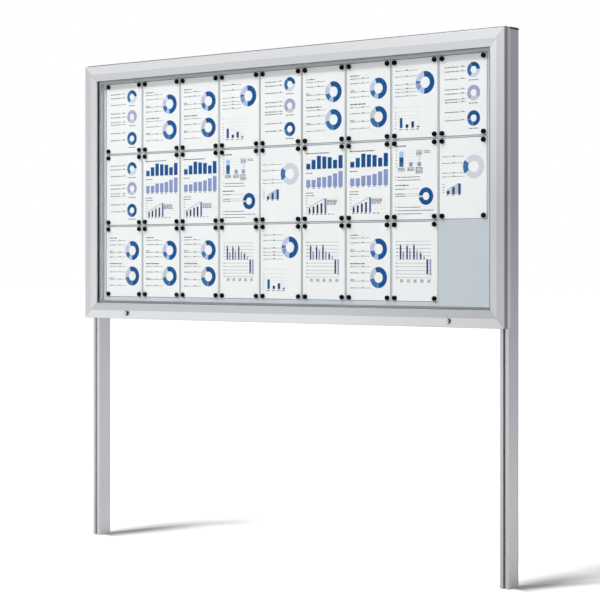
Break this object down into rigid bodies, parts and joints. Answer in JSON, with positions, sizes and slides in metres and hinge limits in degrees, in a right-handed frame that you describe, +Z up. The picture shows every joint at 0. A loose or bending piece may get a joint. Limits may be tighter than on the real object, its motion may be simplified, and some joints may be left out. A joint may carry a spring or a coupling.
{
  "type": "lockable notice board",
  "caption": "Free-standing lockable notice board on posts: a shallow mitred case, a top-hung glazed door on gas struts, cam locks in its lower rail, and sheets held by magnets.",
  "frame": {"origin": "on the ground midway between the posts, on the line through the threads in the post feet", "axes": "+X along the board to the right as seen from the front, +Y from the face to the back, +Z up"},
  "size_m": [2.12, 0.1168, 2.007],
  "materials": {
    "frame_aluminium": "satin natural anodised aluminium extrusion",
    "post_aluminium": "satin natural anodised aluminium extrusion",
    "panel_coating": "pale blue-grey enamel on steel sheet",
    "sheet_paper": "white printed paper",
    "magnet_black": "black plastic shell over a magnet",
    "pane_clear": "clear toughened glass",
    "rubber_grey": "mid-grey rubber",
    "lock_chrome": "polished chrome plating",
    "fitting_steel": "bright zinc-plated steel",
    "cap_plastic": "dark grey plastic",
    "foot_metal": "plain aluminium block",
    "strut_black": "black painted steel tube",
    "rod_chrome": "hard chrome plated rod"
  },
  "bodies": {
    "case": {"back_panel": "panel_coating", "sheets_top_row": "sheet_paper", "sheets_middle_row": "sheet_paper", "sheets_bottom_row": "sheet_paper", "magnets_top_row": "magnet_black", "magnets_middle_row": "magnet_black", "magnets_bottom_row": "magnet_black", "case_seal": "rubber_grey", "hinge_pin": "fitting_steel", "case_hinge_leaf": "fitting_steel", "case_hinge_screws": "fitting_steel", "case_strut_brackets": "fitting_steel", "case_strut_studs": "fitting_steel", "case_corner_plates": "fitting_steel", "case_fitting_screws": "fitting_steel", "hammer_bolts": "fitting_steel", "bolt_washers": "fitting_steel", "bolt_nuts": "fitting_steel", "left_post_foot": "foot_metal", "right_post_foot": "foot_metal", "left_lock_keeper": "fitting_steel", "left_post": "post_aluminium", "left_post_cap": "cap_plastic", "right_lock_keeper": "fitting_steel", "right_post": "post_aluminium", "right_post_cap": "cap_plastic", "case_bottom_rail": "frame_aluminium", "case_top_rail": "frame_aluminium", "case_left_stile": "frame_aluminium", "case_right_stile": "frame_aluminium"},
    "door": {"door_bottom_rail": "frame_aluminium", "door_top_rail": "frame_aluminium", "door_left_stile": "frame_aluminium", "door_right_stile": "frame_aluminium", "door_corner_keys": "foot_metal", "pane": "pane_clear", "pane_gasket": "rubber_grey", "left_lock_body": "lock_chrome", "right_lock_body": "lock_chrome", "lock_nuts": "fitting_steel", "door_hinge_leaf": "fitting_steel", "door_hinge_screws": "fitting_steel", "door_strut_brackets": "fitting_steel", "door_bracket_screws": "fitting_steel"},
    "left_lock": {"left_lock_plug": "lock_chrome", "left_lock_cam": "fitting_steel", "left_cam_screw": "fitting_steel"},
    "left_strut_tube": {"left_strut_cylinder": "strut_black"},
    "left_strut_stem": {"left_strut_rod": "rod_chrome", "left_rod_end": "fitting_steel"},
    "right_lock": {"right_lock_plug": "lock_chrome", "right_lock_cam": "fitting_steel", "right_cam_screw": "fitting_steel"},
    "right_strut_tube": {"right_strut_cylinder": "strut_black"},
    "right_strut_stem": {"right_strut_rod": "rod_chrome", "right_rod_end": "fitting_steel"}
  },
  "joints": [
    {"name": "door_hinge", "type": "hinge", "parent": "case", "child": "door", "pos_m": [0, -0.055, 2.002], "axis": [-1, 0, 0], "range_deg": [0, 80]},
    {"name": "left_lock_turn", "type": "hinge", "parent": "door", "child": "left_lock", "pos_m": [-0.815, -0.073, 0.9535], "axis": [0, -1, 0], "range_deg": [0, 90]},
    {"name": "left_strut_tilt", "type": "hinge", "parent": "case", "child": "left_strut_tube", "pos_m": [-1.03, -0.0455, 1.957], "axis": [-1, 0, 0], "range_deg": [0, 88]},
    {"name": "left_strut_slide", "type": "slide", "parent": "left_strut_tube", "child": "left_strut_stem", "axis": [0, 0, -1], "range_m": [0, 0.0495]},
    {"name": "right_lock_turn", "type": "hinge", "parent": "door", "child": "right_lock", "pos_m": [0.815, -0.073, 0.9535], "axis": [0, 1, 0], "range_deg": [0, 90]},
    {"name": "right_strut_tilt", "type": "hinge", "parent": "case", "child": "right_strut_tube", "pos_m": [1.03, -0.0455, 1.957], "axis": [-1, 0, 0], "range_deg": [0, 88]},
    {"name": "right_strut_slide", "type": "slide", "parent": "right_strut_tube", "child": "right_strut_stem", "axis": [0, 0, -1], "range_m": [0, 0.0495]}
  ],
  "couplings": [
    {"joint": "left_strut_tilt", "follows": "door_hinge", "ratio": 1.0862},
    {"joint": "left_strut_slide", "follows": "door_hinge", "m_per_rad": 0.034906},
    {"joint": "right_strut_tilt", "follows": "door_hinge", "ratio": 1.0862},
    {"joint": "right_strut_slide", "follows": "door_hinge", "m_per_rad": 0.034906}
  ]
}
